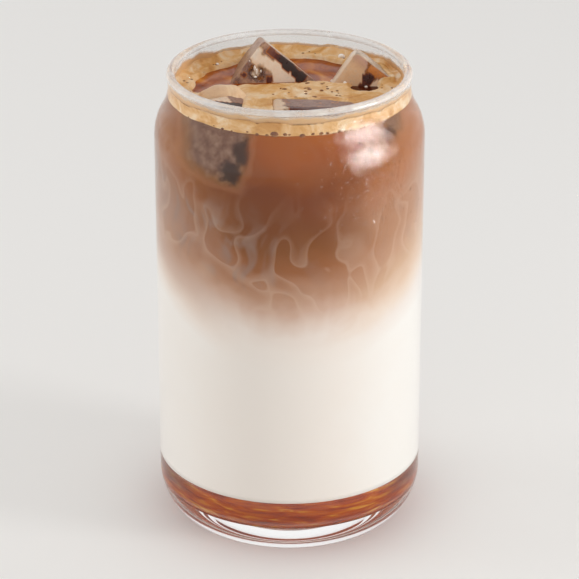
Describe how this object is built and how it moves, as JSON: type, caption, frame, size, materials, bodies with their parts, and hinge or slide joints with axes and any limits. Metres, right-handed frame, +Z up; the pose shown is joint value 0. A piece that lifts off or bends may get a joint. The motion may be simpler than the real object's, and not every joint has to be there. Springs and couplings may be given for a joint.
{
  "type": "iced layered coffee in glass",
  "caption": "Iced coffee in a can-shaped glass: syrup at the bottom, then milk, coffee and golden foam, with ice cubes standing out of the top.",
  "frame": {"origin": "centre of the standing foot, at the table", "axes": "+Z up through the mouth of the glass, -Y the front, +X to the right"},
  "size_m": [0.0754, 0.0754, 0.1381],
  "materials": {
    "glass": "clear, fire-polished",
    "syrup": "clear amber-brown syrup",
    "milk": "opaque warm-white milk",
    "coffee": "brown coffee clouded with milk",
    "crema": "fine golden-tan foam with bubbles",
    "ice": "wet ice with a film of foam"
  },
  "bodies": {
    "root": {"glass": "glass", "syrup": "syrup", "milk": "milk", "coffee": "coffee", "crema": "crema", "ice_back_left": "ice", "ice_right": "ice", "ice_front_left": "ice", "ice_front": "ice"}
  },
  "joints": []
}
